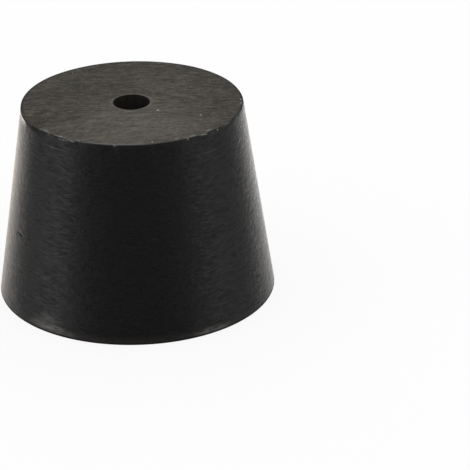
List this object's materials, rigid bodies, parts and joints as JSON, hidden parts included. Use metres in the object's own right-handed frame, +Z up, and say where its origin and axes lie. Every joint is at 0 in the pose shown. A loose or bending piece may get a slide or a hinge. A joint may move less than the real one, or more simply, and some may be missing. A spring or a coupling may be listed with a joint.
{
  "type": "rubber stopper",
  "caption": "Solid tapered black rubber laboratory stopper with one straight central hole that grips a glass tube.",
  "frame": {"origin": "centre of the wide end's face, on the axis of the hole, at the surface the stopper stands on", "axes": "+Z runs up the axis of the hole from the wide end to the narrow end; X and Y are any two directions square to it, because the stopper is round"},
  "size_m": [0.042, 0.0419, 0.0297],
  "materials": {
    "rubber": "satin"
  },
  "bodies": {
    "root": {"stopper": "rubber"}
  },
  "joints": []
}
